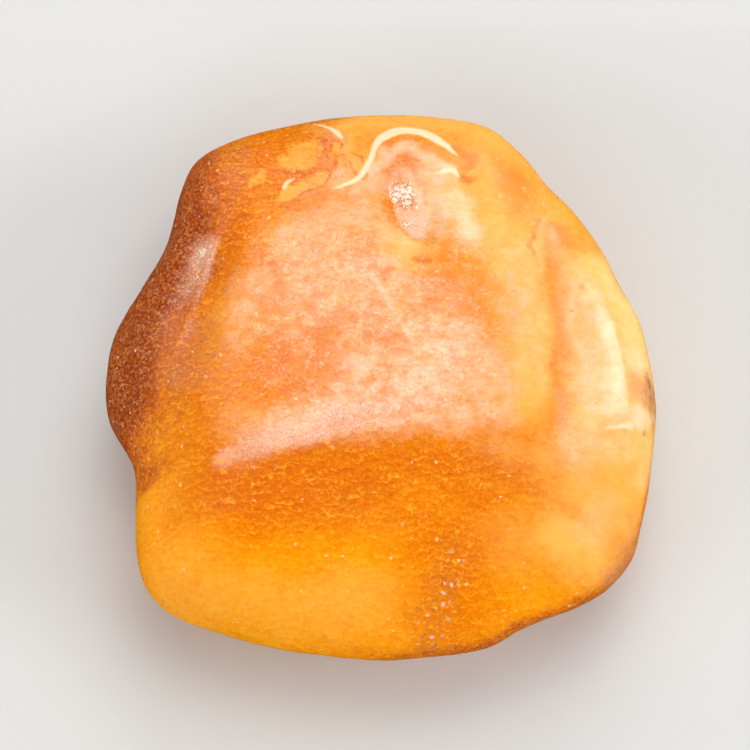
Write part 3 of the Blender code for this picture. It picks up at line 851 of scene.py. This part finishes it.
colour = grown_amber()
for finish in (weathered, marbled, crazed_skin, grainy, flecked, specked, frosted_highlight, veined):
    colour = finish(colour)
tree.links.new(colour, skin.inputs["Base Color"])
tree.links.new(ramp(fine, 0.35, 0.65, 0.26, 0.42), skin.inputs["Roughness"])

# The rubbed skin has a mottled shine of its own over the amber.
shine = roughened(math_of("ADD", times(clouds, 0.4), times(mottle, 0.3)), fine, 0.3)
polish = times(ramp(shine, 0.43, 0.57, 0.6, 1.0), mark("rubbed"), ramp(grain, 0.42, 0.56, 0.4, 1.0))
tree.links.new(polish, skin.inputs["Coat Weight"])
SOAK_DEPTH = 1.5 * MM
skin.inputs["IOR"].default_value = 1.54
skin.inputs["Specular IOR Level"].default_value = 0.1
skin.inputs["Coat Roughness"].default_value = 0.28
skin.inputs["Coat IOR"].default_value = 1.85
skin.inputs["Subsurface Weight"].default_value = 0.5
skin.inputs["Subsurface Radius"].default_value = (1.0, 0.35, 0.08)
skin.inputs["Subsurface Scale"].default_value = SOAK_DEPTH

# The bumps are lower where the skin is pale, and where nothing has rubbed it.
BUMP_DEPTH = 0.08 * MM
bump_height = math_of("ADD", times(fine, 0.5), times(mottle, 0.7))
bump_height = roughened(bump_height, times(grain, mark("frost_and_highlight")), 0.5)
bump_height = times(bump_height, ramp(mark("pale"), 0.0, 1.0, 1.0, 0.35))
bump_height = times(bump_height, ramp(mark("rubbed"), 0.0, 1.0, 0.3, 1.0))
bump = node("Bump", {"Height": bump_height, "Strength": 1.0, "Distance": BUMP_DEPTH})
tree.links.new(bump.outputs[0], skin.inputs["Normal"])

worn.materials.clear()
worn.materials.append(amber)
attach(nugget, "root")
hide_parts("amber_nugget")

# The floor
# A wide sheet of pale matt board, which lies flat under the nugget. It isn't fixed to anything, and
# the nugget's shine doesn't mirror it.
FLOOR_HALF_SIZE = 3.0
FLOOR_PAINT = (0.64, 0.64, 0.63, 1)

floor_shape = bmesh.new()
bmesh.ops.create_grid(floor_shape, x_segments=1, y_segments=1, size=FLOOR_HALF_SIZE)
floor_mesh = bpy.data.meshes.new("pale_floor")
floor_shape.to_mesh(floor_mesh)
floor_shape.free()
floor = bpy.data.objects.new("pale_floor", floor_mesh)
bpy.context.scene.collection.objects.link(floor)
floor_paint = bpy.data.materials.new("pale_floor")
floor_paint.use_nodes = True
floor_skin = floor_paint.node_tree.nodes["Principled BSDF"]
floor_skin.inputs["Base Color"].default_value = FLOOR_PAINT
floor_skin.inputs["Roughness"].default_value = 0.8
floor_mesh.materials.append(floor_paint)
floor.visible_glossy = False

# The studio light
# One large soft box stands behind the nugget and leans over it, and its reflection is the haze on
# the crown. Weaker light all round keeps the near side bright.
LOOKED_AT = Vector((-0.46, 0.60, 7.22)) * MM
WINDOW_BEARING = 27
WINDOW_ELEVATION = 61
WINDOW_DISTANCE = 0.6
WINDOW_SIZE = (0.44, 0.46)
# Three ovals of light lie on each other, so that the box is brightest in its middle. Each has its
# share of the box's size, and its watts.
WINDOW_RINGS = [(0.62, 0.40), (0.92, 0.76), (1.18, 0.98)]
GLOW_BEARING = -10
GLOW_ELEVATION = 52
GLOW_DISTANCE = 0.62
GLOW_SIZE = (0.60, 0.56)
GLOW_WATTS = 0.85
# Each fill light has its elevation, bearing and watts.
FILLS = {"left": (20, 240, 2.8), "front": (38, 185, 1.5), "right": (25, 100, 3.0), "far": (18, 10, 2.3)}
FILL_DISTANCE = 0.8
FILL_SIZE = (0.6, 0.45)
ROOM_LIGHT = (1, 0.98, 0.95, 1)
ROOM_STRENGTH = 0.31


def soft_box(name, elevation, bearing, distance, size, watts):
    """An oval soft light that faces the nugget."""
    light = bpy.data.lights.new(name, "AREA")
    light.shape = "ELLIPSE"
    light.size, light.size_y = size
    light.energy = watts
    lamp = bpy.data.objects.new(name, light)
    rise, turn = math.radians(elevation), math.radians(bearing)
    towards = Vector((math.sin(turn) * math.cos(rise), math.cos(turn) * math.cos(rise), math.sin(rise)))
    lamp.location = LOOKED_AT + towards * distance
    lamp.rotation_euler = towards.to_track_quat("Z", "Y").to_euler()
    bpy.context.scene.collection.objects.link(lamp)
    return lamp


for ring, (share, watts) in enumerate(WINDOW_RINGS):
    ring_size = [side * share for side in WINDOW_SIZE]
    soft_box("window_%d" % ring, WINDOW_ELEVATION, WINDOW_BEARING, WINDOW_DISTANCE, ring_size, watts)
soft_box("window_glow", GLOW_ELEVATION, GLOW_BEARING, GLOW_DISTANCE, GLOW_SIZE, GLOW_WATTS)
for side, (elevation, bearing, watts) in FILLS.items():
    fill = soft_box("fill_" + side, elevation, bearing, FILL_DISTANCE, FILL_SIZE, watts)
    fill.visible_glossy = False

room = bpy.data.worlds.new("soft_room")
room.use_nodes = True
room.node_tree.nodes["Background"].inputs["Color"].default_value = ROOM_LIGHT
room.node_tree.nodes["Background"].inputs["Strength"].default_value = ROOM_STRENGTH
room.cycles_visibility.glossy = False
bpy.context.scene.world = room
bpy.context.scene.view_settings.view_transform = "Standard"

# The camera
# It looks down steeply on the nugget from above its near side. A long lens keeps the nugget's own
# proportions.
CAMERA_ELEVATION = math.radians(70)
CAMERA_DISTANCE = 420 * MM
FRAME_WIDTH = 68.4 * MM
SENSOR_WIDTH = 36

camera_data = bpy.data.cameras.new("camera")
camera_data.sensor_width = SENSOR_WIDTH
camera_data.lens = SENSOR_WIDTH * CAMERA_DISTANCE / FRAME_WIDTH
camera = bpy.data.objects.new("camera", camera_data)
towards_camera = Vector((0, -math.cos(CAMERA_ELEVATION), math.sin(CAMERA_ELEVATION)))
camera.location = LOOKED_AT + towards_camera * CAMERA_DISTANCE
camera.rotation_euler = (math.pi / 2 - CAMERA_ELEVATION, 0, 0)
bpy.context.scene.collection.objects.link(camera)
bpy.context.scene.camera = camera
